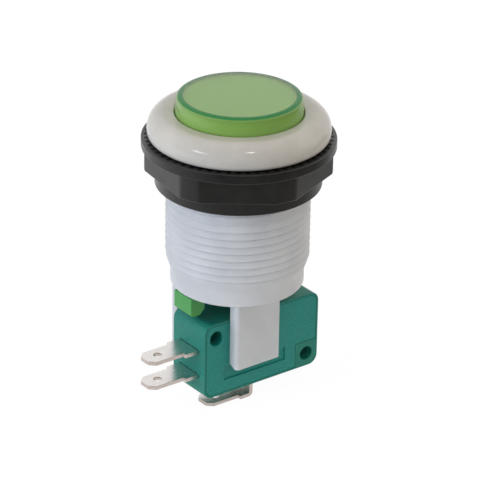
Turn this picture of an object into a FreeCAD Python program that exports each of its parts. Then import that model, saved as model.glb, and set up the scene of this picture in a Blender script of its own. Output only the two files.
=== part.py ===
import FreeCAD, Part
import os
import re
import Sketcher

# Arcade push button with its snap-action switch, in millimetres.
# The origin is on the button's axis, on the underside of the bezel, where the panel lies. +Z points
# up through the cap, X runs along the switch with its terminals at -X, and the front leg is at -Y.

SIZES = {
    # Moulded body: bezel, barrel and switch legs
    "bezel_diameter": 35.2,
    "bezel_height": 5.0,
    "bezel_crown": 3.4,
    "crown_bands": 4,
    "bezel_edge": 0.8,
    "cap_bore_depth": 6.5,
    "thread_diameter": 28.0,
    "thread_length": 24.4,
    "taper_length": 2.9,
    "barrel_diameter": 26.0,
    "barrel_length": 30.3,
    "barrel_wall": 1.6,
    "floor_thickness": 2.0,
    "front_leg_width": 10.8,
    "rear_leg_width": 21.1,
    "leg_thickness": 2.2,
    "leg_length": 15.85,
    "leg_lead_in": 0.9,
    "leg_tip": 0.5,
    "leg_corner": 0.9,
    "peg_length": 3.0,
    # Cap, legend disc and plunger
    "cap_height": 8.3,
    "cap_diameter": 24.1,
    "cap_bevel": 0.4,
    "skirt_depth": 3.5,
    "cap_wall": 0.85,
    "cap_top": 1.3,
    "disc_thickness": 2.4,
    "plate_thickness": 1.6,
    "tube_diameter": 10.4,
    "tube_core": 7.2,
    "tube_floor": 1.5,
    "stem_diameter": 5.0,
    "hook_width": 5.5,
    "hook_leg_thickness": 1.0,
    "left_hook_height": 3.8,
    "right_hook_height": 3.2,
    "hook_slope": 0.4,
    "hook_relief": 1.1,
    # Return spring
    "spring_length": 16.2,
    "spring_mean_diameter": 8.2,
    "wire_diameter": 0.8,
    "spring_pitch": 4.4,
    # Panel nut
    "flange_diameter": 37.4,
    "flange_thickness": 1.9,
    "hex_across_flats": 33.4,
    "hex_corner_trim": 2.47,
    "hex_height": 4.9,
    "collar_diameter": 32.2,
    "collar_height": 2.7,
    "nut_turn": -7.2,
    "notch_count": 60,
    "notch_width": 0.95,
    "notch_depth": 0.45,
    "notch_rim": 0.65,
    "notch_length": 2.4,
    # Snap-action switch
    "case_length": 27.8,
    "case_height": 15.9,
    "case_width": 10.3,
    "case_corner": 2.0,
    "case_wall": 1.7,
    "case_back": 1.4,
    "terminal_end": 11.4,
    "switch_drop": 5.55,
    "cover_inset": 0.5,
    "cover_thickness": 1.3,
    "hole_diameter": 2.9,
    "hole_stretch": 0.3,
    "hole_offset": 2.8,
    "upper_hole_drop": 3.2,
    "hole_wall": 1.5,
    "corner_block": 5.5,
    "recess_start": 4.8,
    "recess_length": 14.95,
    "recess_rise": 3.0,
    "recess_height": 2.7,
    "recess_depth": 0.4,
    "pin_diameter": 2.6,
    "pin_tip_diameter": 1.2,
    "pin_tip_length": 1.0,
    "pin_proud": 2.4,
    "pin_flange_diameter": 4.2,
    "pin_flange_thickness": 0.8,
    # Terminals and contacts
    "tab_width": 4.8,
    "tab_length": 7.5,
    "common_tab_length": 7.1,
    "tab_corner": 1.2,
    "tab_hole": 1.7,
    "tab_hole_offset": 3.15,
    "blade_base_width": 6.3,
    "blade_base_proud": 3.06,
    "blade_base_inner": 6.2,
    "terminal_thickness": 0.8,
    "closed_drop": 6.15,
    "open_drop": 11.45,
    "common_offset": 1.6,
    "common_drop": 3.6,
    "common_shoulder": 2.25,
    "common_bend": 0.6,
    "pivot_offset": 6.0,
    "riser_foot": 1.2,
    "contact_offset": 6.6,
    "contact_diameter": 2.5,
    "contact_head": 0.7,
    "rivet_diameter": 1.4,
    "contact_blade_width": 4.0,
    "contact_blade_thickness": 0.3,
    "tongue_width": 1.6,
    "tongue_slot": 0.5,
    "tongue_length": 6.5,
    # Clearances
    "slide_clearance": 0.25,
    "nut_clearance": 0.15,
    "nut_seat_gap": 0.1,
    "fit_gap": 0.05,
    "contact_gap": 0.03,
    "stem_take_up": 0.65,
    "pin_take_up": 0.95,
}

doc = FreeCAD.newDocument("ArcadeButton")
sheet = doc.addObject("Spreadsheet::Sheet", "Sizes")
for row, (alias, size) in enumerate(SIZES.items(), start=1):
    sheet.set(f"A{row}", alias)
    sheet.set(f"B{row}", str(size))
    sheet.setAlias(f"B{row}", alias)
doc.recompute()

WORD = re.compile(r"[a-z][a-z_]*")
UP = FreeCAD.Vector(0, 0, 1)
ALONG_Y = FreeCAD.Vector(0, 1, 0)
TOUCH = 0.001

# Heights and places that several pieces share, as expressions in the sheet's sizes
barrel_bottom = "(-barrel_length)"
floor_top = "(floor_thickness - barrel_length)"
skirt_bore_radius = "(cap_diameter / 2 + slide_clearance)"
barrel_bore_radius = "(barrel_diameter / 2 - barrel_wall)"
cap_inner_radius = "(cap_diameter / 2 - cap_wall)"
disc_top = "(cap_height - cap_top)"
plate_top = "(cap_height - cap_top - disc_thickness)"
plate_bottom = "(cap_height - cap_top - disc_thickness - plate_thickness)"
plate_radius = f"({cap_inner_radius} - fit_gap)"
tube_bottom = f"({floor_top} + spring_length + 2 * fit_gap)"
# The hooked legs hang from the plate and pass down the barrel's bore
hook_room = f"min({plate_radius}; {barrel_bore_radius} - slide_clearance)"
hook_leg_outer = f"(sqrt({hook_room} ^ 2 - hook_width ^ 2 / 4) - fit_gap)"
hook_leg_inner = f"({hook_leg_outer} - hook_leg_thickness)"
hook_reach = "(barrel_diameter / 2)"
hook_shelf = f"({barrel_bottom} - fit_gap)"
switch_top = "(-barrel_length - switch_drop)"
switch_bottom = f"({switch_top} - case_height)"
switch_left = "(-terminal_end)"
switch_right = "(case_length - terminal_end)"
leg_inner = "(case_width / 2 + fit_gap)"
upper_hole = (f"({switch_left} + hole_offset)", f"({switch_top} - upper_hole_drop)")
lower_hole = (f"({switch_right} - hole_offset)", f"({switch_bottom} + hole_offset)")
pin_top = f"({switch_top} + pin_proud)"
closed_height = f"({switch_top} - closed_drop)"
open_height = f"({switch_top} - open_drop)"
closed_face = f"({closed_height} - terminal_thickness / 2 - contact_head)"
blade_top = f"({closed_face} - contact_gap - contact_head)"
blade_bottom = f"({blade_top} - contact_blade_thickness)"
hex_radius = "(hex_across_flats / cos(30 deg) - hex_corner_trim) / 2"
flange_top = "(-nut_seat_gap)"
flange_bottom = f"({flange_top} - flange_thickness)"
hex_bottom = f"({flange_bottom} - hex_height)"
collar_bottom = f"({hex_bottom} - collar_height)"


def tied(text):
    """Turn each size's name in an expression into a reference to its cell."""
    return WORD.sub(lambda word: "Sizes." + word.group() if word.group() in SIZES else word.group(), text)


def value(text):
    """The number that an expression in the sheet's sizes gives now."""
    return float(sheet.evalExpression(tied(text)))


def new_body(label):
    body = doc.addObject("PartDesign::Body", label)
    body.Label = label
    return body


def sketch_on(body, name, plane, lift="0"):
    """An empty sketch on one of the body's origin planes, lifted along the plane's normal."""
    sketch = body.newObject("Sketcher::SketchObject", name)
    support = next(item for item in body.Origin.OriginFeatures if item.Role == plane)
    sketch.AttachmentSupport = [(support, "")]
    sketch.MapMode = "FlatFace"
    sketch.setExpression("AttachmentOffset.Base.z", tied(lift))
    return sketch


def tie(sketch, kind, *where, size):
    """Add a dimension to a sketch and bind it to an expression in the sheet's sizes."""
    index = sketch.addConstraint(Sketcher.Constraint(kind, *where, value(size)))
    sketch.setExpression(f"Constraints[{index}]", tied(size))


def arc_between(start, end, radius):
    """The short arc from start to end; it turns left for a positive radius and right for a negative one."""
    if radius < 0:
        start, end, radius = end, start, -radius
    middle = (start + end) / 2
    chord = end - start
    sagitta_side = FreeCAD.Vector(-chord.y, chord.x, 0).normalize()
    centre = middle + sagitta_side * max(radius ** 2 - chord.Length ** 2 / 4, 0) ** 0.5
    first = FreeCAD.Vector(1, 0, 0).getAngle(start - centre) * (1 if start.y >= centre.y else -1)
    last = FreeCAD.Vector(1, 0, 0).getAngle(end - centre) * (1 if end.y >= centre.y else -1)
    return Part.ArcOfCircle(Part.Circle(centre, UP, radius), first, last)


def add_loop(sketch, corners, arcs=None):
    """A closed loop through corners; arcs gives the radius of the arc that leaves a corner, by index."""
    arcs = arcs or {}
    points = [FreeCAD.Vector(value(across), value(upward), 0) for across, upward in corners]
    count = len(points)
    starts = []
    ends = []
    for index, point in enumerate(points):
        following = points[(index + 1) % count]
        if index in arcs:
            radius = value(arcs[index])
            edge = sketch.addGeometry(arc_between(point, following, radius))
            tie(sketch, "Radius", edge, size=arcs[index].lstrip("-"))
            begin = 1 if radius > 0 else 2
        else:
            edge = sketch.addGeometry(Part.LineSegment(point, following))
            begin = 1
        starts.append((edge, begin))
        ends.append((edge, 3 - begin))
    for index, (across, upward) in enumerate(corners):
        sketch.addConstraint(Sketcher.Constraint("Coincident", *ends[index - 1], *starts[index]))
        tie(sketch, "DistanceX", -1, 1, *starts[index], size=across)
        tie(sketch, "DistanceY", -1, 1, *starts[index], size=upward)


def add_rectangle(sketch, left, right, low, high):
    add_loop(sketch, [(left, low), (right, low), (right, high), (left, high)])


def add_circle(sketch, across, upward, radius):
    centre = FreeCAD.Vector(value(across), value(upward), 0)
    circle = sketch.addGeometry(Part.Circle(centre, UP, value(radius)))
    tie(sketch, "Radius", circle, size=radius)
    tie(sketch, "DistanceX", -1, 1, circle, 3, size=across)
    tie(sketch, "DistanceY", -1, 1, circle, 3, size=upward)


def extrude(body, kind, name, sketch, length, side="One side", backwards=False):
    """A Pad or Pocket of the sketch; the solid's volume has to change with it."""
    before = body.Shape.Volume if body.Tip else 0
    feature = body.newObject("PartDesign::" + kind, name)
    feature.Profile = sketch
    feature.setExpression("Length", tied(length))
    feature.SideType = side
    feature.Reversed = backwards
    doc.recompute()
    if abs(body.Shape.Volume - before) < TOUCH ** 2:
        raise RuntimeError(f"{body.Label}: {name} changes nothing")
    return feature


def revolve(body, name, sketch):
    feature = body.newObject("PartDesign::Revolution", name)
    feature.Profile = sketch
    feature.ReferenceAxis = (sketch, ["V_Axis"])
    feature.Angle = 360
    doc.recompute()
    return feature


def repeat_round(body, name, original, count):
    """Repeat a feature evenly round the body's Z axis."""
    pattern = body.newObject("PartDesign::PolarPattern", name)
    pattern.Originals = [original]
    axis = next(item for item in body.Origin.OriginFeatures if item.Role == "Z_Axis")
    pattern.Axis = (axis, [""])
    pattern.Angle = 360
    pattern.setExpression("Occurrences", tied(count))
    body.Tip = pattern
    doc.recompute()
    return pattern


def straight_edges(feature, direction, chosen):
    """Names of the straight edges along a direction whose middle passes the test."""
    names = []
    for index, edge in enumerate(feature.Shape.Edges, start=1):
        if edge.Curve.TypeId != "Part::GeomLine":
            continue
        if abs(edge.tangentAt(edge.FirstParameter).dot(direction)) > 0.999 and chosen(edge.CenterOfMass):
            names.append(f"Edge{index}")
    return names


def round_edges(body, name, feature, edges, radius):
    fillet = body.newObject("PartDesign::Fillet", name)
    fillet.Base = (feature, edges)
    fillet.setExpression("Radius", tied(radius))
    doc.recompute()
    return fillet


def button_body():
    """Bezel, barrel, slotted floor and the two legs that hold the switch: one moulding."""
    body = new_body("button_body")
    profile = sketch_on(body, "BodyProfile", "XZ_Plane")
    bezel_radius = "bezel_diameter / 2"
    # Straight bands stand in for the crown's quarter round, which the mesher would cut far finer
    crown = []
    for band in range(int(value("crown_bands")) + 1):
        angle = f"(90 deg * {band} / crown_bands)"
        across = f"{bezel_radius} - bezel_crown * (1 - cos({angle}))"
        upward = f"bezel_height - bezel_crown * (1 - sin({angle}))"
        crown.append((across, upward))
    add_loop(profile, [
        ("stem_diameter / 2 + slide_clearance", barrel_bottom),
        ("barrel_diameter / 2", barrel_bottom),
        ("barrel_diameter / 2", "-thread_length - taper_length"),
        ("thread_diameter / 2", "-thread_length"),
        ("thread_diameter / 2", "0"),
        (f"{bezel_radius} - bezel_edge", "0"),
        (bezel_radius, "bezel_edge"),
        *crown,
        (skirt_bore_radius, "bezel_height"),
        (skirt_bore_radius, "-cap_bore_depth"),
        (barrel_bore_radius, "-cap_bore_depth"),
        (barrel_bore_radius, floor_top),
        ("stem_diameter / 2 + slide_clearance", floor_top),
    ])
    revolve(body, "BezelAndBarrel", profile)
    slots = sketch_on(body, "HookSlots", "XY_Plane", floor_top)
    # A hook bends inwards by its own overhang as it is pushed through, so the slot is that much longer
    slot_inner = f"({hook_leg_inner} - ({hook_reach} - {hook_leg_outer}) - slide_clearance)"
    slot_outer = f"({hook_leg_outer} + slide_clearance)"
    slot_half = "(hook_width / 2 + slide_clearance)"
    add_rectangle(slots, f"-{slot_outer}", f"-{slot_inner}", f"-{slot_half}", slot_half)
    add_rectangle(slots, slot_inner, slot_outer, f"-{slot_half}", slot_half)
    extrude(body, "Pocket", "HookOpenings", slots, "floor_thickness")
    leg_outer = f"({leg_inner} + leg_thickness)"
    leg_bottom = f"({barrel_bottom} - leg_length)"
    for side, label, width in ((-1, "FrontLeg", "front_leg_width"), (1, "RearLeg", "rear_leg_width")):
        outline = sketch_on(body, label + "Profile", "YZ_Plane")
        add_loop(outline, [
            (f"{side} * {leg_inner}", barrel_bottom),
            (f"{side} * {leg_inner}", f"{leg_bottom} + leg_lead_in"),
            (f"{side} * ({leg_outer} - leg_tip)", leg_bottom),
            (f"{side} * {leg_outer}", leg_bottom),
            (f"{side} * {leg_outer}", barrel_bottom),
        ])
        leg = extrude(body, "Pad", label, outline, width, side="Symmetric")
        face = side * value(leg_outer)
        corners = straight_edges(leg, UP, lambda p: p.z < value(barrel_bottom) and abs(p.y - face) < TOUCH)
        round_edges(body, label + "Corners", leg, corners, "leg_corner")
    peg = sketch_on(body, "PegOutline", "XZ_Plane", f"-{leg_inner}")
    add_circle(peg, *upper_hole, "hole_diameter / 2 - fit_gap")
    extrude(body, "Pad", "LocatingPeg", peg, "peg_length")
    return body


def cap():
    """Transparent cup that the finger presses."""
    body = new_body("cap")
    profile = sketch_on(body, "CapProfile", "XZ_Plane")
    add_loop(profile, [
        ("0", disc_top),
        (cap_inner_radius, disc_top),
        (cap_inner_radius, "-skirt_depth"),
        ("cap_diameter / 2", "-skirt_depth"),
        ("cap_diameter / 2", "cap_height - cap_bevel"),
        ("cap_diameter / 2 - cap_bevel", "cap_height"),
        ("0", "cap_height"),
    ])
    revolve(body, "Cup", profile)
    return body


def legend_disc():
    """Pale disc that lies under the cap's top."""
    disc = doc.addObject("Part::Cylinder", "legend_disc")
    disc.Label = "legend_disc"
    disc.setExpression("Radius", tied(plate_radius))
    disc.setExpression("Height", tied("disc_thickness"))
    disc.setExpression("Placement.Base.z", tied(plate_top))
    return disc


def plunger():
    """Plate that fills the cap, cored tube, stem to the switch and two hooked legs: one moulding."""
    body = new_body("plunger")
    profile = sketch_on(body, "PlungerProfile", "XZ_Plane")
    add_loop(profile, [
        ("0", f"{pin_top} + stem_take_up"),
        ("stem_diameter / 2", f"{pin_top} + stem_take_up"),
        ("stem_diameter / 2", tube_bottom),
        ("tube_diameter / 2", tube_bottom),
        ("tube_diameter / 2", plate_bottom),
        (plate_radius, plate_bottom),
        (plate_radius, plate_top),
        ("tube_core / 2", plate_top),
        ("tube_core / 2", f"{tube_bottom} + tube_floor"),
        ("0", f"{tube_bottom} + tube_floor"),
    ])
    revolve(body, "PlateAndStem", profile)
    # The left hook goes down past the end of the switch; the right one stays above it
    for side, label, height in ((-1, "LeftHook", "left_hook_height"), (1, "RightHook", "right_hook_height")):
        hook_bottom = f"({hook_shelf} - {height})"
        outline = sketch_on(body, label + "Profile", "XZ_Plane")
        add_loop(outline, [
            (f"{side} * {hook_leg_inner}", plate_bottom),
            (f"{side} * {hook_leg_inner}", f"{hook_bottom} + hook_relief"),
            (f"{side} * ({hook_leg_inner} + hook_relief)", hook_bottom),
            (f"{side} * ({hook_reach} - hook_slope)", hook_bottom),
            (f"{side} * {hook_reach}", f"{hook_bottom} + hook_slope"),
            (f"{side} * {hook_reach}", hook_shelf),
            (f"{side} * {hook_leg_outer}", hook_shelf),
            (f"{side} * {hook_leg_outer}", plate_bottom),
        ])
        extrude(body, "Pad", label, outline, "hook_width", side="Symmetric")
    return body


def return_spring():
    """Coil spring between the barrel's floor and the plunger's tube."""
    helix = doc.addObject("Part::Helix", "SpringLine")
    helix.setExpression("Radius", tied("spring_mean_diameter / 2"))
    helix.setExpression("Pitch", tied("spring_pitch"))
    helix.setExpression("Height", tied("spring_length - wire_diameter"))
    helix.setExpression("Placement.Base.z", tied(f"{floor_top} + fit_gap + wire_diameter / 2"))
    wire = doc.addObject("Part::RegularPolygon", "SpringWire")
    wire.Polygon = 4
    wire.setExpression("Circumradius", tied("wire_diameter / 2"))
    wire.Placement.Rotation = FreeCAD.Rotation(FreeCAD.Vector(1, 0, 0), 90)
    wire.setExpression("Placement.Base.x", tied("spring_mean_diameter / 2"))
    wire.setExpression("Placement.Base.z", tied(f"{floor_top} + fit_gap + wire_diameter / 2"))
    doc.recompute()
    coil = doc.addObject("Part::Sweep", "return_spring")
    coil.Label = "return_spring"
    coil.Sections = [wire]
    coil.Spine = (helix, [f"Edge{index}" for index in range(1, len(helix.Shape.Edges) + 1)])
    coil.Solid = True
    coil.Frenet = True
    return coil


def panel_nut():
    """Flanged hexagon nut with a collar; its upper face bites the panel with radial notches."""
    body = new_body("panel_nut")
    bore_radius = "(thread_diameter / 2 + nut_clearance)"
    profile = sketch_on(body, "NutProfile", "XZ_Plane")
    add_loop(profile, [
        (bore_radius, collar_bottom),
        ("collar_diameter / 2", collar_bottom),
        ("collar_diameter / 2", hex_bottom),
        (hex_radius, hex_bottom),
        (hex_radius, flange_bottom),
        ("flange_diameter / 2", flange_bottom),
        ("flange_diameter / 2", flange_top),
        (bore_radius, flange_top),
    ])
    revolve(body, "NutRing", profile)
    flat = sketch_on(body, "FlatOutline", "XY_Plane", flange_bottom)
    add_rectangle(flat, "hex_across_flats / 2", "hex_across_flats", f"-{hex_radius}", hex_radius)
    repeat_round(body, "SixFlats", extrude(body, "Pocket", "Flat", flat, "hex_height"), "6")
    notch = sketch_on(body, "NotchOutline", "YZ_Plane", "flange_diameter / 2 - notch_rim")
    add_loop(notch, [
        ("-notch_width / 2", flange_top),
        ("0", f"{flange_top} - notch_depth"),
        ("notch_width / 2", flange_top),
    ])
    repeat_round(body, "PanelNotches", extrude(body, "Pocket", "Notch", notch, "notch_length"), "notch_count")
    body.setExpression("Placement.Rotation.Angle", tied("nut_turn"))
    return body


def stepped_outline(inset, block_gap):
    """Corners of the switch's front view, inset, with a step round the lower hole's corner block."""
    step_left = f"({switch_right} - corner_block - {block_gap})"
    step_top = f"({switch_bottom} + corner_block + {block_gap})"
    return [
        (f"{switch_left} + {inset}", f"{switch_bottom} + {inset}"),
        (step_left, f"{switch_bottom} + {inset}"),
        (step_left, step_top),
        (f"{switch_right} - {inset}", step_top),
        (f"{switch_right} - {inset}", f"{switch_top} - {inset}"),
        (f"{switch_left} + {inset}", f"{switch_top} - {inset}"),
    ]


def add_cover_loop(sketch, inset, block_gap):
    """The stepped outline with its three outer corners rounded like the case's."""
    low_left, step_low, step_high, low_right, high_right, high_left = stepped_outline(inset, block_gap)
    corner = f"(case_corner - {inset})"
    add_loop(sketch, [
        (f"{low_left[0]} + {corner}", low_left[1]),
        step_low,
        step_high,
        low_right,
        (high_right[0], f"{high_right[1]} - {corner}"),
        (f"{high_right[0]} - {corner}", high_right[1]),
        (f"{high_left[0]} + {corner}", high_left[1]),
        (high_left[0], f"{high_left[1]} - {corner}"),
        (low_left[0], f"{low_left[1]} + {corner}"),
    ], arcs={4: corner, 6: corner, 8: corner})


def add_upper_hole(sketch, radius):
    """Fixing hole beside the terminals, taller than it is wide."""
    across, upward = upper_hole
    high = f"({upward} + hole_stretch / 2)"
    low = f"({upward} - hole_stretch / 2)"
    add_loop(sketch, [
        (f"{across} - {radius}", high),
        (f"{across} - {radius}", low),
        (across, f"{low} - {radius}"),
        (f"{across} + {radius}", low),
        (f"{across} + {radius}", high),
        (across, f"{high} + {radius}"),
    ], arcs={1: radius, 2: radius, 4: radius, 5: radius})


def switch_case():
    """Tray of the switch, open towards the front leg, with walls round its fixing holes."""
    body = new_body("switch_case")
    outline = sketch_on(body, "CaseOutline", "XZ_Plane")
    add_rectangle(outline, switch_left, switch_right, switch_bottom, switch_top)
    block = extrude(body, "Pad", "CaseBlock", outline, "case_width", side="Symmetric")
    round_edges(body, "CaseCorners", block, straight_edges(block, ALONG_Y, lambda p: True), "case_corner")
    rebate = sketch_on(body, "RebateOutline", "XZ_Plane", "case_width / 2")
    add_cover_loop(rebate, "(cover_inset - fit_gap)", "0")
    extrude(body, "Pocket", "CoverRebate", rebate, "cover_thickness + fit_gap")
    inner = stepped_outline("case_wall", "(case_wall - cover_inset)")
    boss_right = f"({upper_hole[0]} + hole_diameter / 2 + hole_wall)"
    # The wall round the upper hole ends on the terminal below it
    boss_low = f"({closed_height} + terminal_thickness / 2 + fit_gap)"
    inner[5:] = [
        (boss_right, f"{switch_top} - case_wall"),
        (boss_right, boss_low),
        (f"{switch_left} + case_wall", boss_low),
    ]
    cavity = sketch_on(body, "CavityOutline", "XZ_Plane", "case_width / 2")
    add_loop(cavity, inner)
    extrude(body, "Pocket", "Cavity", cavity, "case_width - case_back")
    holes = sketch_on(body, "FixingHoles", "XZ_Plane", "case_width / 2")
    add_upper_hole(holes, "(hole_diameter / 2)")
    add_circle(holes, *lower_hole, "hole_diameter / 2")
    extrude(body, "Pocket", "Fixings", holes, "case_width")
    guide = sketch_on(body, "PinGuideOutline", "XY_Plane", switch_top)
    add_circle(guide, "0", "0", "pin_diameter / 2 + fit_gap")
    extrude(body, "Pocket", "PinGuide", guide, "case_wall")
    half_slot = "(blade_base_width / 2 + fit_gap)"
    ends = sketch_on(body, "EndSlots", "YZ_Plane", switch_left)
    for height in (closed_height, open_height):
        low = f"{height} - terminal_thickness / 2 - fit_gap"
        high = f"{height} + terminal_thickness / 2 + fit_gap"
        add_rectangle(ends, f"-{half_slot}", half_slot, low, high)
    extrude(body, "Pocket", "EndTerminalSlots", ends, "case_wall", backwards=True)
    under = sketch_on(body, "CommonSlotOutline", "XY_Plane", switch_bottom)
    left = "common_offset - terminal_thickness / 2 - fit_gap"
    right = "common_offset + terminal_thickness / 2 + fit_gap"
    add_rectangle(under, left, right, f"-{half_slot}", half_slot)
    extrude(body, "Pocket", "CommonSlot", under, "case_wall", backwards=True)
    return body


def switch_cover():
    """Plate that closes the tray, flush with its front, with a bare label recess."""
    body = new_body("switch_cover")
    outline = sketch_on(body, "CoverOutline", "XZ_Plane", "case_width / 2 - cover_thickness")
    add_cover_loop(outline, "cover_inset", "fit_gap")
    add_upper_hole(outline, "(hole_diameter / 2)")
    extrude(body, "Pad", "CoverPlate", outline, "cover_thickness")
    recess = sketch_on(body, "RecessOutline", "XZ_Plane", "case_width / 2")
    left = f"({switch_left} + recess_start)"
    low = f"({switch_bottom} + recess_rise)"
    add_rectangle(recess, left, f"{left} + recess_length", low, f"{low} + recess_height")
    extrude(body, "Pocket", "LabelRecess", recess, "recess_depth")
    return body


def actuator_pin():
    """Pin of the switch: shaft, keeper flange under the case's top wall, and a thin tip over the blade."""
    body = new_body("actuator_pin")
    flange_high = f"({switch_top} - case_wall - fit_gap)"
    tip_low = f"({blade_top} + pin_take_up)"
    profile = sketch_on(body, "PinProfile", "XZ_Plane")
    add_loop(profile, [
        ("0", tip_low),
        ("pin_tip_diameter / 2", tip_low),
        ("pin_tip_diameter / 2", f"{tip_low} + pin_tip_length"),
        ("pin_diameter / 2", f"{tip_low} + pin_tip_length"),
        ("pin_diameter / 2", f"{flange_high} - pin_flange_thickness"),
        ("pin_flange_diameter / 2", f"{flange_high} - pin_flange_thickness"),
        ("pin_flange_diameter / 2", flange_high),
        ("pin_diameter / 2", flange_high),
        ("pin_diameter / 2", pin_top),
        ("0", pin_top),
    ])
    revolve(body, "PinShaft", profile)
    return body


def tab_plan(tip, shoulder, inner):
    """Plan of a blade terminal: a chamfered tab, its shoulders and the wider base."""
    tab = "(tab_width / 2)"
    base = "(blade_base_width / 2)"
    return [
        (tip, f"-({tab} - tab_corner)"),
        (f"{tip} + tab_corner", f"-{tab}"),
        (shoulder, f"-{tab}"),
        (shoulder, f"-{base}"),
        (inner, f"-{base}"),
        (inner, base),
        (shoulder, base),
        (shoulder, tab),
        (f"{tip} + tab_corner", tab),
        (tip, f"{tab} - tab_corner"),
    ]


def end_terminal(label, height):
    """Flat blade through the switch's end wall, which bears a contact at its inner end."""
    body = new_body(label)
    shoulder = f"({switch_left} - blade_base_proud)"
    tip = f"({shoulder} - tab_length)"
    plan = sketch_on(body, "BladePlan", "XY_Plane", height)
    add_loop(plan, tab_plan(tip, shoulder, f"{switch_left} + blade_base_inner"))
    add_circle(plan, f"{tip} + tab_hole_offset", "0", "tab_hole / 2")
    extrude(body, "Pad", "Blade", plan, "terminal_thickness", side="Symmetric")
    return body


def common_terminal():
    """Bent strip: the tab under the switch, the leg through its floor and the riser that bears the blade."""
    body = new_body("common_terminal")
    leg_left = "(common_offset - terminal_thickness / 2)"
    leg_right = "(common_offset + terminal_thickness / 2)"
    tab_low = f"({switch_bottom} - common_drop - terminal_thickness / 2)"
    tab_high = f"({switch_bottom} - common_drop + terminal_thickness / 2)"
    shoulder = f"({leg_left} - common_shoulder)"
    tip = f"({shoulder} - common_tab_length)"
    foot_low = f"({switch_bottom} + case_wall + riser_foot)"
    foot_high = f"({foot_low} + terminal_thickness)"
    riser_left = "(pivot_offset - terminal_thickness / 2)"
    riser_right = "(pivot_offset + terminal_thickness / 2)"
    profile = sketch_on(body, "StripProfile", "XZ_Plane")
    add_loop(profile, [
        (tip, tab_low),
        (leg_right, tab_low),
        (leg_right, foot_low),
        (riser_right, foot_low),
        (riser_right, f"{blade_bottom} - 2 * fit_gap"),
        (riser_left, f"{blade_bottom} - 2 * fit_gap"),
        (riser_left, foot_high),
        (leg_left, foot_high),
        (leg_left, tab_high),
        (tip, tab_high),
    ])
    strip = extrude(body, "Pad", "Strip", profile, "blade_base_width", side="Symmetric")
    bend = straight_edges(strip, ALONG_Y, lambda p: abs(p.z - value(tab_low)) < TOUCH and p.x > 0)
    round_edges(body, "Bend", strip, bend, "common_bend + terminal_thickness / 2")
    sides = sketch_on(body, "TabSides", "XY_Plane", tab_high)
    edge = "(tab_width / 2)"
    base = "(blade_base_width / 2)"
    for side in (-1, 1):
        add_loop(sides, [
            (tip, f"{side} * ({edge} - tab_corner)"),
            (f"{tip} + tab_corner", f"{side} * {edge}"),
            (shoulder, f"{side} * {edge}"),
            (shoulder, f"{side} * {base}"),
            (tip, f"{side} * {base}"),
        ])
    add_circle(sides, f"{tip} + tab_hole_offset", "0", "tab_hole / 2")
    extrude(body, "Pocket", "TabOutline", sides, "terminal_thickness")
    return body


def contact_blade():
    """Stamped spring blade that rocks on the common riser; a tongue is cut free in its middle."""
    body = new_body("contact_blade")
    half = "(contact_blade_width / 2)"
    plan = sketch_on(body, "BladePlan", "XY_Plane", blade_bottom)
    tip = "(-contact_offset - contact_diameter / 2)"
    heel = "(pivot_offset + terminal_thickness / 2)"
    add_rectangle(plan, tip, heel, f"-{half}", half)
    add_circle(plan, "-contact_offset", "0", "rivet_diameter / 2")
    tongue = "(tongue_width / 2)"
    slot = "(tongue_width / 2 + tongue_slot)"
    root = "(pivot_offset - 2 * terminal_thickness)"
    end = f"({root} - tongue_length)"
    add_loop(plan, [
        (root, slot),
        (f"{end} - tongue_slot", slot),
        (f"{end} - tongue_slot", f"-{slot}"),
        (root, f"-{slot}"),
        (root, f"-{tongue}"),
        (end, f"-{tongue}"),
        (end, tongue),
        (root, tongue),
    ])
    extrude(body, "Pad", "Blade", plan, "contact_blade_thickness")
    return body


def fixed_contact(label, low):
    """Button welded to one face of its terminal."""
    button = doc.addObject("Part::Cylinder", label)
    button.Label = label
    button.setExpression("Radius", tied("contact_diameter / 2"))
    button.setExpression("Height", tied("contact_head"))
    button.setExpression("Placement.Base.x", tied("-contact_offset"))
    button.setExpression("Placement.Base.z", tied(low))
    return button


def moving_contact():
    """Contact with a head on each side of the spring blade."""
    body = new_body("moving_contact")
    profile = sketch_on(body, "RivetProfile", "XZ_Plane")
    shank = "rivet_diameter / 2 - fit_gap"
    add_loop(profile, [
        ("0", f"{blade_bottom} - contact_head"),
        ("contact_diameter / 2", f"{blade_bottom} - contact_head"),
        ("contact_diameter / 2", blade_bottom),
        (shank, blade_bottom),
        (shank, blade_top),
        ("contact_diameter / 2", blade_top),
        ("contact_diameter / 2", f"{blade_top} + contact_head"),
        ("0", f"{blade_top} + contact_head"),
    ])
    revolve(body, "Rivet", profile)
    body.setExpression("Placement.Base.x", tied("-contact_offset"))
    return body


sub_parts = [
    button_body(),
    cap(),
    legend_disc(),
    plunger(),
    return_spring(),
    panel_nut(),
    switch_case(),
    switch_cover(),
    actuator_pin(),
    end_terminal("closed_terminal", closed_height),
    end_terminal("open_terminal", open_height),
    common_terminal(),
    contact_blade(),
    moving_contact(),
    fixed_contact("closed_contact", f"{closed_height} - terminal_thickness / 2 - contact_head"),
    fixed_contact("open_contact", f"{open_height} + terminal_thickness / 2"),
]
doc.recompute()

for item in doc.Objects:
    if "Invalid" in item.State or "Error" in item.State:
        raise RuntimeError(f"{item.Label} failed: {item.State}")
for part in sub_parts:
    if part.Shape.isNull() or not part.Shape.isValid():
        raise RuntimeError(f"{part.Label} has no valid shape")

os.makedirs("parts", exist_ok=True)
for part in sub_parts:
    part.Shape.exportStep(f"parts/{part.Label}.step")
    print(f"{part.Label}: {len(part.Shape.Solids)} solid, {part.Shape.Volume:.1f} mm3")
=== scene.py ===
import math

import bmesh
import bpy
from mathutils import Matrix, Vector


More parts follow.
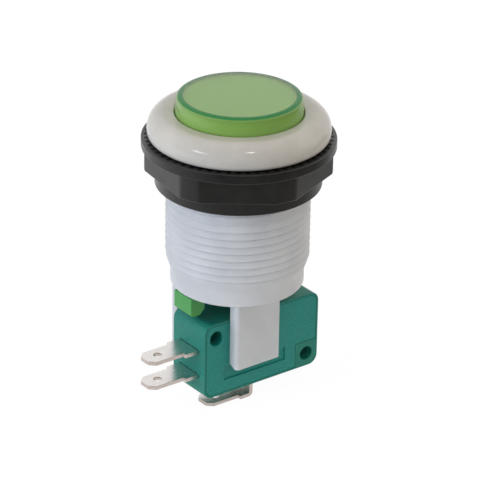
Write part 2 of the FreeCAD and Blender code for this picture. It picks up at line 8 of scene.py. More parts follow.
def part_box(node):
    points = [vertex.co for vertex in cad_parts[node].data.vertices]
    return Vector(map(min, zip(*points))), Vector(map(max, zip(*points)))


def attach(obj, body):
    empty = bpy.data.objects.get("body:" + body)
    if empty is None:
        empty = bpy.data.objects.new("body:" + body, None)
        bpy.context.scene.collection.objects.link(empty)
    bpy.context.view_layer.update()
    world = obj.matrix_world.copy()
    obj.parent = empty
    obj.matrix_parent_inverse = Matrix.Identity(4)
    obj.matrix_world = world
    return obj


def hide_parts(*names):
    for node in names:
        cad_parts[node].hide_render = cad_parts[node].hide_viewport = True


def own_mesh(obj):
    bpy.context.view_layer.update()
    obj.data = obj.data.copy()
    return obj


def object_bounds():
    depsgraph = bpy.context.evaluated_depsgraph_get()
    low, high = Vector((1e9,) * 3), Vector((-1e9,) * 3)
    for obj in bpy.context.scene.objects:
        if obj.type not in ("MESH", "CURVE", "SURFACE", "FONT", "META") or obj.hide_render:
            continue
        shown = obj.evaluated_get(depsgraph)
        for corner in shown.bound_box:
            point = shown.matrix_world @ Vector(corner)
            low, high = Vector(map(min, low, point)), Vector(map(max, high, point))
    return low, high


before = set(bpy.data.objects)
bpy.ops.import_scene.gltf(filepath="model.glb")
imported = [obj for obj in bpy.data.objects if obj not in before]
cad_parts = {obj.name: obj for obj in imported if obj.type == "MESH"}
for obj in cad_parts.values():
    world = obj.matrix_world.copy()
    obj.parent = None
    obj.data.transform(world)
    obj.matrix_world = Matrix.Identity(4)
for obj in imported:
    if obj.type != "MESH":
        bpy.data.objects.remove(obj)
cad_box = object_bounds()

# Lengths are in millimetres, heights are above the bezel's underside, and angles are in degrees.
MM = 0.001
TURN_STEPS = 192
EASE_STEPS = 3
SAME_POINT = 1e-7
SHARP_ANGLE = math.radians(28)
FLAT_ANGLE = math.radians(0.5)

# Camera, as the photograph's outlines give it: how it looks and where it stands
VIEW_TURN = -37.125
VIEW_RISE = 25.850
VIEW_ROLL = 0.925
STAND_TURN = -37.068
STAND_RISE = 24.659
STAND_DISTANCE = 547.1
STAND_HEIGHT = -9.6
LENS = 214.23
SENSOR = 36.0
NEAREST_SEEN = 10

# Studio: soft boxes, the light of the room, and the white sheet on the floor
LAMP_DISTANCE = 450
LAMPS = (
    # name, turn, rise, width, height, power, colour, and if glossy surfaces show it
    ("ceiling", -110, 64, 420, 420, 0.44, "#FFEED8", False),
    ("left_window", -96, 2, 320, 160, 1.15, "#E4EEFF", False),
    ("front_fill", -20, -2, 320, 180, 0.2, "#FFFCF8", False),
    ("right_wall", 42, 18, 260, 260, 0.46, "#FFF0E0", False),
    ("window_glint", -88, 27, 130, 32, 0.2, "#F4F8FF", True),
    ("lamp_glint", -19, 52, 34, 40, 0.16, "#FFFFFF", True),
)
ROOM_LIGHT = 0.36
ROOM_FRONT = 0.2
FLOOR_REACH = 4000
FLOOR_GAP = 0.2
SHEET_REACH = 70
SHEET_WHITE = 1.04
SHEET_CLEAN = 0.92
SHINE_BACK = -90
SHINE_FRONT = 70
SHINE_LEAST = 0.05

# Moulded body
BEZEL_TOP = 5.0
BEZEL_CROWN = 3.4
BEZEL_EDGE = 1.0
LIP_ROUND = 0.4
RIM_ROUND = 0.3
CAP_BORE = 12.34
CAP_BORE_FLOOR = -6.5
BARREL_RADIUS = 13.0
BARREL_BORE = 11.4
BARREL_BOTTOM = -30.3
BARREL_FLOOR = -28.3
LEG_EASE = 0.25
SEAM = 0.1
SHELTERED = -1.5
EXPOSED = 0.5

# Thread of the body
THREAD_RADIUS = 14.0
THREAD_START = -0.8
THREAD_END = -24.4
TAPER_END = -27.3
THREAD_PITCH = 1.5
THREAD_ROWS = 12
THREAD_DEPTH = 0.42
THREAD_FLANK = 0.375
FIRST_CREST = -0.06

# Cap and plunger
CAP_WALL = 0.85
CAP_TOP = 1.25
CAP_SHOULDER = 1.35
CAP_ROUND = 0.65
CAP_DRAFT = 0.22
# Depth under the cap's top of the painted emerald glow
EMERALD_DEPTH = 0.42
PLUNGER_EASE = 0.2

# Panel nut
NUT_EASE = 0.3
NOTCH_FLOOR = -0.6
NOTCH_END = 18.3

# Return spring
WIRE_RADIUS = 0.4
WIRE_SIDES = 12
SPRING_TURNS = 9
CLOSED_TURNS = 1.0
STEPS_PER_TURN = 40

# Switch; a face looks along an axis if that share of its normal does
CASE_EASE = 0.3
COVER_EASE = 0.1
TERMINAL_EASE = 0.1
TERMINAL_TIP = 2
LOOKS_ALONG = 0.5


def linear(hex_colour):
    """An sRGB hex colour as Blender's linear RGBA."""
    channels = [int(hex_colour[start:start + 2], 16) / 255 for start in (1, 3, 5)]
    return (*[c / 12.92 if c <= 0.04045 else ((c + 0.055) / 1.055) ** 2.4 for c in channels], 1.0)


def per(size):
    """Texture scale that repeats once in a size in millimetres."""
    return 1 / (size * MM)


def outward(turn, rise):
    """Unit direction from the object for a turn about Z and a rise above the horizon."""
    a = math.radians(turn)
    e = math.radians(rise)
    return Vector((math.sin(a) * math.cos(e), -math.cos(a) * math.cos(e), math.sin(e)))


def add(tree, kind, settings=None, links=None):
    """Adds a node; settings are its properties or input values, links the sockets that feed it."""
    node = tree.nodes.new("ShaderNode" + kind)
    for name, setting in (settings or {}).items():
        if isinstance(name, str) and hasattr(node, name):
            setattr(node, name, setting)
        else:
            node.inputs[name].default_value = setting
    for name, socket in (links or {}).items():
        tree.links.new(socket, node.inputs[name])
    return node


def new_material(name):
    """An empty node material, with its tree."""
    material = bpy.data.materials.new(name)
    material.use_nodes = True
    material.node_tree.nodes.clear()
    return material, material.node_tree


def natural_nylon():
    """Unfilled polyamide, moulded: milky, because it lets light in a little.

    The bezel, out in the open, is polished and tinted a little warmer than the barrel, which is
    satin.
    """
    material, tree = new_material("natural_nylon")
    place = add(tree, "TexCoord").outputs["Object"]
    # The melt's flow clouds it over about 6 mm
    clouds = add(tree, "TexNoise", {"Scale": per(6), "Detail": 3.0}, {"Vector": place})
    tint = add(tree, "ValToRGB", links={"Fac": clouds.outputs["Fac"]})
    tint.color_ramp.elements[0].position = 0.35
    tint.color_ramp.elements[0].color = linear("#C8CBCF")
    tint.color_ramp.elements[1].position = 0.7
    tint.color_ramp.elements[1].color = linear("#D3D6D9")
    height = add(tree, "SeparateXYZ", links={"Vector": place}).outputs["Z"]
    exposed = add(tree, "MapRange", {"From Min": SHELTERED * MM, "From Max": EXPOSED * MM},
                  {"Value": height})
    # The part above the bezel's underside is tinted warmer than the barrel
    warm_bezel_tint = add(tree, "Mix", {
        "data_type": "RGBA",
        "blend_type": "MULTIPLY",
        7: linear("#FCF5E8"),
    }, {0: exposed.outputs["Result"], 6: tint.outputs["Color"]})
    satin = add(tree, "MapRange", {"To Min": 0.42, "To Max": 0.13},
                {"Value": exposed.outputs["Result"]})
    # The mould's skin, drawn at 0.5 mm, which is coarser than it is, so that it shows
    skin = add(tree, "TexNoise", {"Scale": per(0.5), "Detail": 2.0}, {"Vector": place})
    bump = add(tree, "Bump", {"Strength": 0.06, "Distance": 0.02 * MM},
               {"Height": skin.outputs["Fac"]})
    shader = add(tree, "BsdfPrincipled", {
        "IOR": 1.53,
        "Subsurface Weight": 0.35,
        "Subsurface Radius": (1.0, 1.0, 0.9),
        "Subsurface Scale": 1.2 * MM,
    }, {
        "Base Color": warm_bezel_tint.outputs[2],
        "Roughness": satin.outputs["Result"],
        "Normal": bump.outputs["Normal"],
    })
    add(tree, "OutputMaterial", links={"Surface": shader.outputs["BSDF"]})
    return material


def clear_polycarbonate():
    """Clear green polycarbonate, moulded: pale where one looks straight through its top.

    Near the rim an opaque share is mixed in by height and radius, a painted glow: yellow-green on
    the side and emerald on the shoulder.
    """
    material, tree = new_material("clear_green_polycarbonate")
    place = add(tree, "TexCoord").outputs["Object"]
    # Fingers dull it in patches of about 1.5 mm
    wear = add(tree, "TexNoise", {"Scale": per(1.5), "Detail": 4.0}, {"Vector": place})
    haze = add(tree, "MapRange", {
        "From Min": 0.3,
        "From Max": 0.7,
        "To Min": 0.03,
        "To Max": 0.09,
    }, {"Value": wear.outputs["Fac"]})
    clear = add(tree, "BsdfPrincipled", {
        "Base Color": linear("#DDF2BC"),
        "IOR": 1.585,
        "Transmission Weight": 0.92,
    }, {"Roughness": haze.outputs["Result"]})
    flat = add(tree, "VectorMath", {"operation": "MULTIPLY", 1: (1.0, 1.0, 0.0)}, {0: place})
    across = add(tree, "VectorMath", {"operation": "LENGTH"}, {0: flat.outputs["Vector"]})
    height = add(tree, "SeparateXYZ", links={"Vector": place}).outputs["Z"]
    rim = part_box("cap")[1]
    # Painted glow of light carried inside the cap: masks for the rim and for the shoulder
    outer = add(tree, "MapRange", {
        "interpolation_type": "SMOOTHSTEP",
        "From Min": rim.x - CAP_SHOULDER * MM,
        "From Max": rim.x - 0.8 * CAP_SHOULDER * MM,
    }, {"Value": across.outputs["Value"]})
    shoulder = add(tree, "MapRange", {
        "interpolation_type": "SMOOTHSTEP",
        "From Min": rim.z - EMERALD_DEPTH * MM,
        "From Max": rim.z - EMERALD_DEPTH / 2 * MM,
    }, {"Value": height})
    # Colour of the painted glow, yellow-green on the side and emerald at the shoulder
    painted_glow_colour = add(tree, "Mix", {
        "data_type": "RGBA",
        6: linear("#A6DA66"),
        7: linear("#10853E"),
    }, {0: shoulder.outputs["Result"]})
    painted_glow = add(tree, "BsdfPrincipled", {
        "Roughness": 0.06,
        "IOR": 1.585,
        "Specular IOR Level": 0.2,
    }, {"Base Color": painted_glow_colour.outputs[2]})
    share = add(tree, "MapRange", {"To Min": 0.4, "To Max": 0.85},
                {"Value": shoulder.outputs["Result"]})
    painted_glow_share = add(tree, "Math", {"operation": "MULTIPLY"},
                {0: outer.outputs["Result"], 1: share.outputs["Result"]})
    # Clear shader with the painted glow mixed over it
    shader = add(tree, "MixShader", links={
        0: painted_glow_share.outputs["Value"],
        1: clear.outputs["BSDF"],
        2: painted_glow.outputs["BSDF"],
    })
    dye = add(tree, "VolumeAbsorption", {"Color": linear("#CFF4AA"), "Density": 500.0})
    add(tree, "OutputMaterial", links={
        "Surface": shader.outputs["Shader"],
        "Volume": dye.outputs["Volume"],
    })
    return material


def legend_sheet():
    """White plastic sheet, extruded: matt, so that it spreads a lamp's light."""
    material, tree = new_material("matt_white_sheet")
    place = add(tree, "TexCoord").outputs["Object"]
    # Its grain, drawn at 0.6 mm, which is coarser than it is, so that it shows
    grain = add(tree, "TexNoise", {"Scale": per(0.6), "Detail": 2.0}, {"Vector": place})
    tint = add(tree, "ValToRGB", links={"Fac": grain.outputs["Fac"]})
    tint.color_ramp.elements[0].color = linear("#E0D6C4")
    tint.color_ramp.elements[1].color = linear("#ECE3D2")
    shader = add(tree, "BsdfPrincipled", {"Roughness": 0.6, "IOR": 1.5},
                 {"Base Color": tint.outputs["Color"]})
    add(tree, "OutputMaterial", links={"Surface": shader.outputs["BSDF"]})
    return material


def tinted_abs():
    """Green ABS, moulded: saturated, and glowing a little where light gets behind thin hooks."""
    material, tree = new_material("green_abs")
    place = add(tree, "TexCoord").outputs["Object"]
    # The melt's flow clouds it over about 2.5 mm
    clouds = add(tree, "TexNoise", {"Scale": per(2.5), "Detail": 3.0}, {"Vector": place})
    tint = add(tree, "ValToRGB", links={"Fac": clouds.outputs["Fac"]})
    tint.color_ramp.elements[0].color = linear("#379040")
    tint.color_ramp.elements[1].color = linear("#48A350")
    shader = add(tree, "BsdfPrincipled", {
        "Roughness": 0.32,
        "IOR": 1.53,
        "Subsurface Weight": 0.4,
        "Subsurface Radius": (0.5, 1.2, 0.4),
        "Subsurface Scale": 1.5 * MM,
    }, {"Base Color": tint.outputs["Color"]})
    add(tree, "OutputMaterial", links={"Surface": shader.outputs["BSDF"]})
    return material


def black_nylon():
    """Black polyamide, moulded: satin, with a faint grain and a dusty bloom."""
    material, tree = new_material("black_nylon")
    place = add(tree, "TexCoord").outputs["Object"]
    # The bloom lies in patches of about 3 mm
    bloom = add(tree, "TexNoise", {"Scale": per(3), "Detail": 5.0, "Roughness": 0.65},
                {"Vector": place})
    tint = add(tree, "ValToRGB", links={"Fac": bloom.outputs["Fac"]})
    tint.color_ramp.elements[0].position = 0.35
    tint.color_ramp.elements[0].color = linear("#0F100F")
    tint.color_ramp.elements[1].position = 0.75
    tint.color_ramp.elements[1].color = linear("#1C1B1A")
    rough = add(tree, "MapRange", {
        "From Min": 0.3,
        "From Max": 0.7,
        "To Min": 0.26,
        "To Max": 0.4,
    }, {"Value": bloom.outputs["Fac"]})
    # The mould's grain, drawn at 0.25 mm, which is coarser than it is, so that it shows
    grain = add(tree, "TexNoise", {"Scale": per(0.25), "Detail": 2.0}, {"Vector": place})
    bump = add(tree, "Bump", {"Strength": 0.12, "Distance": 0.05 * MM},
               {"Height": grain.outputs["Fac"]})
    shader = add(tree, "BsdfPrincipled", {"IOR": 1.53}, {
        "Base Color": tint.outputs["Color"],
        "Roughness": rough.outputs["Result"],
        "Normal": bump.outputs["Normal"],
    })
    add(tree, "OutputMaterial", links={"Surface": shader.outputs["BSDF"]})
    return material


def switch_polyester(name, dark, light):
    """Glass-filled thermoplastic polyester, moulded: matt, with a fine speckle of fibre."""
    material, tree = new_material(name)
    place = add(tree, "TexCoord").outputs["Object"]
    # The glass fibres are about 0.35 mm long
    speckle = add(tree, "TexNoise", {"Scale": per(0.35), "Detail": 3.0, "Roughness": 0.6},
                  {"Vector": place})
    tint = add(tree, "ValToRGB", links={"Fac": speckle.outputs["Fac"]})
    tint.color_ramp.elements[0].position = 0.3
    tint.color_ramp.elements[0].color = linear(dark)
    tint.color_ramp.elements[1].position = 0.72
    tint.color_ramp.elements[1].color = linear(light)
    rough = add(tree, "MapRange", {"To Min": 0.45, "To Max": 0.6},
                {"Value": speckle.outputs["Fac"]})
    bump = add(tree, "Bump", {"Strength": 0.1, "Distance": 0.04 * MM},
               {"Height": speckle.outputs["Fac"]})
    shader = add(tree, "BsdfPrincipled", {"IOR": 1.5}, {
        "Base Color": tint.outputs["Color"],
        "Roughness": rough.outputs["Result"],
        "Normal": bump.outputs["Normal"],
    })
    add(tree, "OutputMaterial", links={"Surface": shader.outputs["BSDF"]})
    return material


def metal(name, dark, light, low, high, streak):
    """Rolled or drawn metal: its colour and its gloss, from low to high roughness, vary in streaks.

    The streak's width in millimetres is coarser than the rolls leave it, so that it shows.
    """
    material, tree = new_material(name)
    place = add(tree, "TexCoord").outputs["Object"]
    stretched = add(tree, "Mapping", {"Scale": (0.15, 1.0, 1.0)}, {"Vector": place})
    streaks = add(tree, "TexNoise", {"Scale": per(streak), "Detail": 3.0},
                  {"Vector": stretched.outputs["Vector"]})
    tint = add(tree, "ValToRGB", links={"Fac": streaks.outputs["Fac"]})
    tint.color_ramp.elements[0].color = linear(dark)
    tint.color_ramp.elements[1].color = linear(light)
    rough = add(tree, "MapRange", {"To Min": low, "To Max": high},
                {"Value": streaks.outputs["Fac"]})
    shader = add(tree, "BsdfPrincipled", {"Metallic": 1.0}, {
        "Base Color": tint.outputs["Color"],
        "Roughness": rough.outputs["Result"],
    })
    add(tree, "OutputMaterial", links={"Surface": shader.outputs["BSDF"]})
    return material


def studio_paper():
    """White sheet on a grey table: the camera sees white all over, and a soft shadow."""
    material, tree = new_material("white_paper")
    place = add(tree, "TexCoord").outputs["Object"]
    from_middle = add(tree, "VectorMath", {"operation": "LENGTH"}, {0: place})
    beyond = add(tree, "MapRange", {
        "From Min": SHEET_REACH * MM,
        "From Max": 2 * SHEET_REACH * MM,
    }, {"Value": from_middle.outputs["Value"]})
    # The fibres lie in flocks of about 2 mm
    fibre = add(tree, "TexNoise", {"Scale": per(2), "Detail": 2.0}, {"Vector": place})
    tint = add(tree, "ValToRGB", links={"Fac": fibre.outputs["Fac"]})
    tint.color_ramp.elements[0].color = linear("#F4F4F3")
    tint.color_ramp.elements[1].color = linear("#FAFAFA")
    ground = add(tree, "Mix", {"data_type": "RGBA", 7: linear("#6E6D6B")},
                 {0: beyond.outputs["Result"], 6: tint.outputs["Color"]})
    paper = add(tree, "BsdfDiffuse", links={"Color": ground.outputs[2]})
    glow = add(tree, "Emission", {"Color": (1.0, 1.0, 1.0, 1.0), "Strength": SHEET_WHITE})
    path = add(tree, "LightPath")
    seen = add(tree, "Math", {"operation": "MAXIMUM"},
               {0: path.outputs["Is Camera Ray"], 1: path.outputs["Is Transmission Ray"]})
    clean = add(tree, "MapRange", {"To Min": SHEET_CLEAN, "To Max": 1.0},
                {"Value": beyond.outputs["Result"]})
    share = add(tree, "Math", {"operation": "MULTIPLY"},
                {0: seen.outputs["Value"], 1: clean.outputs["Result"]})
    # Glossy surfaces show it white behind the object and fading out in front
    nearer = add(tree, "VectorMath", {"operation": "DOT_PRODUCT", 1: (0.0, -1.0, 0.0)}, {0: place})
    shine = add(tree, "MapRange", {
        "From Min": SHINE_BACK * MM,
        "From Max": SHINE_FRONT * MM,
        "To Min": 1.0,
        "To Max": SHINE_LEAST,
    }, {"Value": nearer.outputs["Value"]})
    white = add(tree, "Math", {"operation": "MULTIPLY_ADD"}, {
        0: path.outputs["Is Glossy Ray"],
        1: shine.outputs["Result"],
        2: share.outputs["Value"],
    })
    mixed = add(tree, "MixShader", links={
        0: white.outputs["Value"],
        1: paper.outputs["BSDF"],
        2: glow.outputs["Emission"],
    })
    add(tree, "OutputMaterial", links={"Surface": mixed.outputs["Shader"]})
    return material


def new_piece(name, shape, material):
    """An object from a bmesh, smooth but for its sharp edges."""
    mesh = bpy.data.meshes.new(name)
    shape.to_mesh(mesh)
    shape.free()
    mesh.shade_smooth()
    mesh.set_sharp_from_angle(angle=SHARP_ANGLE)
    mesh.materials.append(material)
    piece = bpy.data.objects.new(name, mesh)
    bpy.context.scene.collection.objects.link(piece)
    return piece


def settle(piece, body, slot, *nodes):
    """Lets a piece ride a body and stand for CAD nodes; the slot argument is not used."""
    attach(piece, body)
    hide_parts(*nodes)
    return piece


def arc(across, upward, radius, start, end, points=8, squash=1.0):
    """Points of an arc in the half plane of radius and height, with both ends; squash lowers it."""
    angles = [math.radians(start + (end - start) * step / (points - 1)) for step in range(points)]
    return [(across + radius * math.cos(a), upward + squash * radius * math.sin(a)) for a in angles]


def turned(outline, closed):
    """Sweeps an outline once round Z.

    A point is (radius, height), or a function of the angle that gives it.
    """
    shape = bmesh.new()
    columns = []
    for step in range(TURN_STEPS + 1):
        angle = 2 * math.pi * step / TURN_STEPS
        column = []
        for point in outline:
            radius, height = point(angle) if callable(point) else point
            out = radius * MM
            column.append(shape.verts.new(
                (out * math.cos(angle), out * math.sin(angle), height * MM)))
        columns.append(column)
    rows = len(outline) if closed else len(outline) - 1
    for left, right in zip(columns, columns[1:]):
        for row in range(rows):
            following = (row + 1) % len(outline)
            shape.faces.new((left[row], right[row], right[following], left[following]))
    bmesh.ops.remove_doubles(shape, verts=shape.verts, dist=SAME_POINT)
    bmesh.ops.recalc_face_normals(shape, faces=shape.faces)
    return shape


def joined_flats(node):
    """A bmesh copy of a CAD node whose triangles are joined into flat faces."""
    shape = bmesh.new()
    shape.from_mesh(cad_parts[node].data)
    bmesh.ops.remove_doubles(shape, verts=shape.verts, dist=SAME_POINT)
    bmesh.ops.dissolve_limit(shape, angle_limit=FLAT_ANGLE, verts=shape.verts, edges=shape.edges)
    return shape


def ease(shape, width, chosen=None):
    """Rounds a bmesh's sharp edges by a width, or only those whose ends all pass a test."""
    sharp = [edge for edge in shape.edges
             if len(edge.link_faces) == 2 and edge.calc_face_angle() > SHARP_ANGLE]
    if chosen:
        sharp = [edge for edge in sharp if all(chosen(vertex.co) for vertex in edge.verts)]
    bmesh.ops.bevel(shape, geom=sharp, offset=width * MM, segments=EASE_STEPS, profile=0.5,
                    affect="EDGES", clamp_overlap=True)


def eased_copy(node, width, material, body, slot, chosen=None):
    """A piece that stands for a CAD node, with its edges rounded and its flats kept flat."""
    shape = joined_flats(node)
    ease(shape, width, chosen)
    piece = new_piece(node + "_eased", shape, material)
    piece.data.set_sharp_from_angle(angle=math.pi)
    normals = piece.modifiers.new("FlatFaces", "WEIGHTED_NORMAL")
    normals.weight = 100
    return settle(piece, body, slot, node)


def thread_fall(below):
    """How far the thread lies inside its crest, at a distance below the crest.

    A steep flank comes first, then a hollow that flares out to the next crest.
    """
    if below < THREAD_FLANK:
        return THREAD_DEPTH * below / THREAD_FLANK
    return THREAD_DEPTH * (1 - ((below - THREAD_FLANK) / (THREAD_PITCH - THREAD_FLANK)) ** 2)


def thread_point(row):
    """A point of the barrel's outside, on a row that climbs with the thread between its ends."""
    def at(angle):
        crest = FIRST_CREST + THREAD_PITCH * angle / (2 * math.pi)
        height = min(max(crest - THREAD_PITCH * row / THREAD_ROWS, TAPER_END), THREAD_START)
        run_out = max(0, THREAD_END - height) / (THREAD_END - TAPER_END)
        taper = THREAD_RADIUS - (THREAD_RADIUS - BARREL_RADIUS) * run_out
        return min(taper, THREAD_RADIUS - thread_fall((crest - height) % THREAD_PITCH)), height
    return at


def bezel_and_barrel():
    """The body's turned part, open where the floor and the legs go on."""
    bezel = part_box("button_body")[1].x / MM
    rows = math.ceil((FIRST_CREST + THREAD_PITCH - TAPER_END) / THREAD_PITCH * THREAD_ROWS)
    return turned([
        (BARREL_BORE, BARREL_FLOOR + SEAM),
        (BARREL_BORE, CAP_BORE_FLOOR),
        (CAP_BORE, CAP_BORE_FLOOR),
        *arc(CAP_BORE + LIP_ROUND, BEZEL_TOP - LIP_ROUND, LIP_ROUND, 180, 90),
        *arc(bezel - BEZEL_CROWN, BEZEL_TOP - BEZEL_CROWN, BEZEL_CROWN, 90, 0, points=24),
        *arc(bezel - BEZEL_EDGE, BEZEL_EDGE, BEZEL_EDGE, 0, -90),
        (THREAD_RADIUS, 0),
        *[thread_point(row) for row in range(rows + 1)],
        *arc(BARREL_RADIUS - RIM_ROUND, BARREL_BOTTOM + RIM_ROUND, RIM_ROUND, 0, -90),
    ], closed=False)


def floor_and_legs():
    """The CAD's own floor and switch legs, drawn in at the rim, with rounded edges."""
    shape = joined_flats("button_body")
    floor = BARREL_FLOOR * MM + SAME_POINT
    above = [face for face in shape.faces if max(v.co.z for v in face.verts) > floor]
    bmesh.ops.delete(shape, geom=above, context="FACES")
    for vertex in shape.verts:
        across = vertex.co.xy.length
        if across > (BARREL_RADIUS - RIM_ROUND / 2) * MM:
            vertex.co.xy *= (BARREL_RADIUS - RIM_ROUND - SEAM) * MM / across
    ease(shape, LEG_EASE)
    return shape


def moulded_body(material):
    """Bezel, threaded barrel, floor and switch legs as one skin."""
    skin = bezel_and_barrel()
    legs = floor_and_legs()
    scratch = bpy.data.meshes.new("legs")
    legs.to_mesh(scratch)
    legs.free()
    skin.from_mesh(scratch)
    bpy.data.meshes.remove(scratch)
    between = (BARREL_FLOOR + BARREL_BOTTOM) / 2 * MM
    loose = [edge for edge in skin.edges if edge.is_boundary]
    inner = [edge for edge in loose if edge.verts[0].co.z > between]
    outer = [edge for edge in loose if edge.verts[0].co.z < between]
    for seam in (inner, outer):
        bmesh.ops.bridge_loops(skin, edges=seam)
    bmesh.ops.recalc_face_normals(skin, faces=skin.faces)
    settle(new_piece("moulded_body", skin, material), "housing", "body_nylon", "button_body")


def clear_cap(material):
    """Cup with a soft shoulder and a drafted side."""
    low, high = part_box("cap")
    radius = high.x / MM
    top = high.z / MM
    skirt = low.z / MM
    cup = turned([
        (0, top),
        *arc(radius - CAP_SHOULDER, top - CAP_ROUND, CAP_SHOULDER, 90, 0,
             points=16, squash=CAP_ROUND / CAP_SHOULDER),
        (radius + CAP_DRAFT, BEZEL_TOP),
        (radius + CAP_DRAFT, skirt),
        (radius - CAP_WALL, skirt),
        (radius - CAP_WALL, top - CAP_TOP),
        (0, top - CAP_TOP),
    ], closed=True)
    loose = [edge for edge in cup.edges if not edge.link_faces]
    bmesh.ops.delete(cup, geom=loose, context="EDGES")
    settle(new_piece("clear_cap", cup, material), "button", "cap_plastic", "cap")


def clear_of_notches(place):
    """If a point of the nut lies away from the notches, which are too narrow to round."""
    return place.z < NOTCH_FLOOR * MM or place.xy.length > NOTCH_END * MM


def coil_spring(material):
    """Round wire wound with a closed turn at each end."""
    low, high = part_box("return_spring")
    radius = high.x - WIRE_RADIUS * MM
    bottom = low.z + WIRE_RADIUS * MM
    rise = high.z - low.z - 2 * WIRE_RADIUS * MM
    closed_rise = 2 * WIRE_RADIUS * MM * CLOSED_TURNS
    open_turns = SPRING_TURNS - 2 * CLOSED_TURNS
    shape = bmesh.new()
    rings = []
    for step in range(SPRING_TURNS * STEPS_PER_TURN + 1):
        turn = step / STEPS_PER_TURN
        share = min(max((turn - CLOSED_TURNS) / open_turns, 0), 1)
        closing = min(turn, CLOSED_TURNS) + max(turn - CLOSED_TURNS - open_turns, 0)
        height = bottom + closing / CLOSED_TURNS * closed_rise + share * (rise - 2 * closed_rise)
        spoke = Vector((math.cos(2 * math.pi * turn), math.sin(2 * math.pi * turn), 0))
        centre = spoke * radius + Vector((0, 0, height))
        ring = []
        for side in range(WIRE_SIDES):
            angle = 2 * math.pi * side / WIRE_SIDES
            out = spoke * math.cos(angle) + Vector((0, 0, math.sin(angle)))
            ring.append(shape.verts.new(centre + WIRE_RADIUS * MM * out))
        rings.append(ring)
    for first, second in zip(rings, rings[1:]):
        for side in range(WIRE_SIDES):
            following = (side + 1) % WIRE_SIDES
            shape.faces.new((first[side], first[following], second[following], second[side]))
    shape.faces.new(rings[0])
    shape.faces.new(rings[-1])
    bmesh.ops.recalc_face_normals(shape, faces=shape.faces)
    spring = new_piece("coil_spring", shape, material)
    settle(spring, "housing", "spring_steel", "return_spring")
    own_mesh(spring)


def blade_terminal(node, plated, sheared):
    """Terminal with its rolled faces plated and its punched edges bare."""
    piece = eased_copy(node, TERMINAL_EASE, plated, "housing", "plated_brass")
    piece.data.materials.append(sheared)
    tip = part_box(node)[0].x + TERMINAL_TIP * MM
    for face in piece.data.polygons:
        side = abs(face.normal.y) > LOOKS_ALONG
        end = face.normal.x < -LOOKS_ALONG and face.center.x < tip
        face.material_index = 1 if side or end else 0


def show_as_built(node, material):
    """Gives a CAD node its material and leaves its shape alone."""
    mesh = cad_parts[node].data
    mesh.materials.clear()
    mesh.materials.append(material)


def soft_box(name, turn, rise, width, height, power, colour, mirrored):
    """Flat lamp that faces the object; mirrored says if glossy surfaces show it."""
    data = bpy.data.lights.new(name, "AREA")
    data.shape = "RECTANGLE"
    data.size = width * MM
    data.size_y = height * MM
    data.energy = power
    data.color = linear(colour)[:3]
    lamp = bpy.data.objects.new(name, data)
    bpy.context.scene.collection.objects.link(lamp)
    toward = outward(turn, rise)
    lamp.location = toward * LAMP_DISTANCE * MM
    lamp.rotation_euler = toward.to_track_quat("Z", "Y").to_euler()
    lamp.visible_glossy = mirrored


def photo_camera():
    """Camera at the photograph's viewing angle, with its slight roll."""
    data = bpy.data.cameras.new("camera")
    data.lens = LENS
    data.sensor_width = SENSOR
    data.clip_start = NEAREST_SEEN * MM
    camera = bpy.data.objects.new("camera", data)
    bpy.context.scene.collection.objects.link(camera)
    back = outward(VIEW_TURN, VIEW_RISE)
    level = Vector((0, 0, 1)).cross(back).normalized()
    upright = back.cross(level)
    roll = math.radians(VIEW_ROLL)
    right = level * math.cos(roll) + upright * math.sin(roll)
    up = upright * math.cos(roll) - level * math.sin(roll)
    stand = outward(STAND_TURN, STAND_RISE) * STAND_DISTANCE * MM
    spot = stand + Vector((0, 0, STAND_HEIGHT * MM))
    camera.matrix_world = Matrix((
        (right.x, up.x, back.x, spot.x),
        (right.y, up.y, back.y, spot.y),
        (right.z, up.z, back.z, spot.z),
        (0, 0, 0, 1),
    ))
    bpy.context.scene.camera = camera


def studio_floor():
    """Wide floor just under the object."""
    reach = FLOOR_REACH * MM
    corners = [(-reach, -reach, 0), (reach, -reach, 0), (reach, reach, 0), (-reach, reach, 0)]
    mesh = bpy.data.meshes.new("floor")
    mesh.from_pydata(corners, [], [(0, 1, 2, 3)])
    mesh.materials.append(studio_paper())
    floor = bpy.data.objects.new("floor", mesh)
    floor.location.z = cad_box[0].z - FLOOR_GAP * MM
    bpy.context.scene.collection.objects.link(floor)


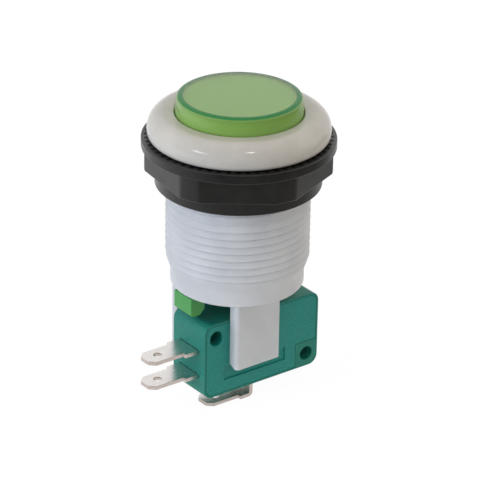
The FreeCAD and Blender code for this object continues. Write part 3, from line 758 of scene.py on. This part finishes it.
def studio_room():
    """Even light from all round; seen or mirrored, white behind the object and dim in front."""
    world = bpy.data.worlds.new("studio")
    world.use_nodes = True
    tree = world.node_tree
    tree.nodes.clear()
    path = add(tree, "LightPath")
    direct = add(tree, "Math", {"operation": "MAXIMUM"},
                 {0: path.outputs["Is Camera Ray"], 1: path.outputs["Is Glossy Ray"]})
    seen = add(tree, "Math", {"operation": "MAXIMUM"},
               {0: direct.outputs["Value"], 1: path.outputs["Is Transmission Ray"]})
    ray = add(tree, "TexCoord").outputs["Generated"]
    toward = add(tree, "VectorMath", {"operation": "DOT_PRODUCT", 1: outward(VIEW_TURN, 0)},
                 {0: ray})
    room = add(tree, "MapRange", {
        "From Min": -0.2,
        "From Max": 0.6,
        "To Min": 1.0,
        "To Max": ROOM_FRONT,
    }, {"Value": toward.outputs["Value"]})
    strength = add(tree, "MapRange", {"To Min": ROOM_LIGHT}, {
        "Value": seen.outputs["Value"],
        "To Max": room.outputs["Result"],
    })
    air = add(tree, "Background", {"Color": (1.0, 1.0, 1.0, 1.0)},
              {"Strength": strength.outputs["Result"]})
    add(tree, "OutputWorld", links={"Surface": air.outputs["Background"]})
    bpy.context.scene.world = world


# The object
moulded_body(natural_nylon())
clear_cap(clear_polycarbonate())
eased_copy("plunger", PLUNGER_EASE, tinted_abs(), "button", "plunger_plastic")
eased_copy("panel_nut", NUT_EASE, black_nylon(), "nut", "nut_nylon", chosen=clear_of_notches)
coil_spring(metal("spring_steel_wire", "#8E8F90", "#B4B5B6", 0.25, 0.4, 0.3))
eased_copy("switch_case", CASE_EASE, switch_polyester("teal_polyester", "#0B6E60", "#1D8576"),
           "housing", "case_resin")
eased_copy("switch_cover", COVER_EASE,
           switch_polyester("teal_polyester_cover", "#0B7870", "#1D8F84"),
           "housing", "cover_resin")
tin_plate = metal("tin_plated_brass", "#D6D2CF", "#EEEAE7", 0.18, 0.32, 0.4)
punched_edge = metal("punched_brass_edge", "#C8BAB2", "#E6DCD6", 0.25, 0.4, 0.25)
for terminal in ("closed_terminal", "open_terminal", "common_terminal"):
    blade_terminal(terminal, tin_plate, punched_edge)
show_as_built("legend_disc", legend_sheet())
show_as_built("actuator_pin", switch_polyester("teal_polyester_pin", "#0B6E60", "#1D8576"))
show_as_built("contact_blade", metal("beryllium_copper", "#B07A4E", "#C99468", 0.2, 0.35, 0.3))
silver = metal("silver_contact", "#C9C7C1", "#E0DED8", 0.25, 0.4, 0.2)
for contact in ("moving_contact", "closed_contact", "open_contact"):
    show_as_built(contact, silver)

# The studio
photo_camera()
studio_floor()
for lamp in LAMPS:
    soft_box(*lamp)
studio_room()
bpy.context.scene.view_settings.view_transform = "Standard"
